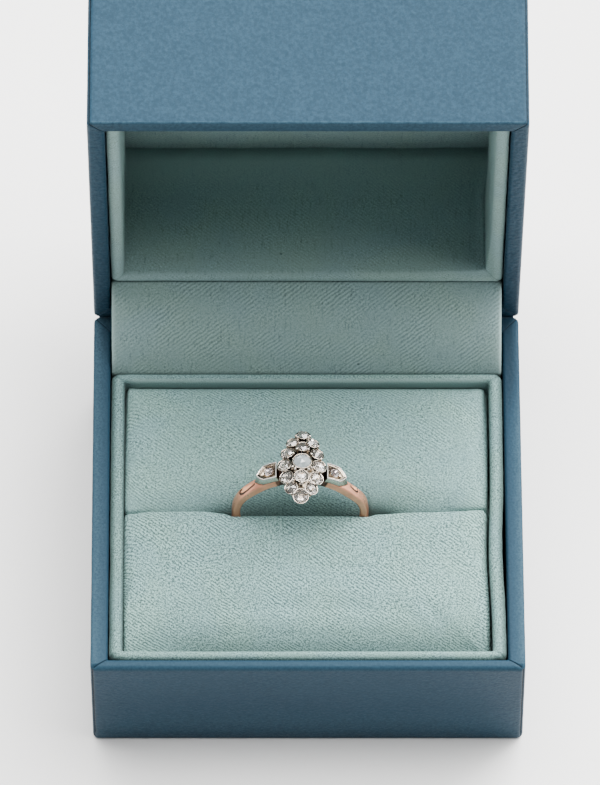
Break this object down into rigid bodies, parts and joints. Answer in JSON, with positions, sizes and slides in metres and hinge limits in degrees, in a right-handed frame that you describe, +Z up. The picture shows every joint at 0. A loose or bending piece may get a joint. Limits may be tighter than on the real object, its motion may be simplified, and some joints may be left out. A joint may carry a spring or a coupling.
{
  "type": "diamond ring in a hinged presentation box",
  "caption": "Pointed-oval cluster ring of rose-cut diamonds with shield shoulders, standing in the padded slot of an open hinged ring box lined with velvet.",
  "frame": {"origin": "middle of the underside of the base; the box faces -Y and its lid stands open at the back", "axes": "+X to the right as seen from the front, +Y to the back, +Z up"},
  "size_m": [0.062, 0.0838, 0.0796],
  "materials": {
    "leatherette": "satin, pebbled grain",
    "velvet": "short nap",
    "rose_gold": "polished, worn",
    "silver": "polished, tarnished in the recesses",
    "diamond": "clear, rose cut"
  },
  "bodies": {
    "base": {"base_shell": "leatherette", "base_tray": "velvet", "back_pad": "velvet", "front_pad": "velvet", "hinge_flap": "velvet", "ring_shank": "rose_gold", "left_shoulder": "silver", "right_shoulder": "silver", "ring_head": "silver", "stone_centre": "diamond", "stone_middle_back": "diamond", "stone_middle_front": "diamond", "stone_tip_back": "diamond", "stone_tip_front": "diamond", "stone_shoulder_left": "diamond", "stone_shoulder_right": "diamond", "stone_left_1": "diamond", "stone_left_2": "diamond", "stone_left_3": "diamond", "stone_left_4": "diamond", "stone_left_5": "diamond", "stone_right_1": "diamond", "stone_right_2": "diamond", "stone_right_3": "diamond", "stone_right_4": "diamond", "stone_right_5": "diamond"},
    "lid": {"lid_shell": "leatherette", "lid_tray": "velvet", "lid_panel": "velvet"}
  },
  "joints": [
    {"name": "lid_hinge", "type": "hinge", "parent": "base", "child": "lid", "pos_m": [0, 0.02845, 0.0227], "axis": [1, 0, 0], "range_deg": [0, 90], "deforming": ["hinge_flap"]}
  ]
}
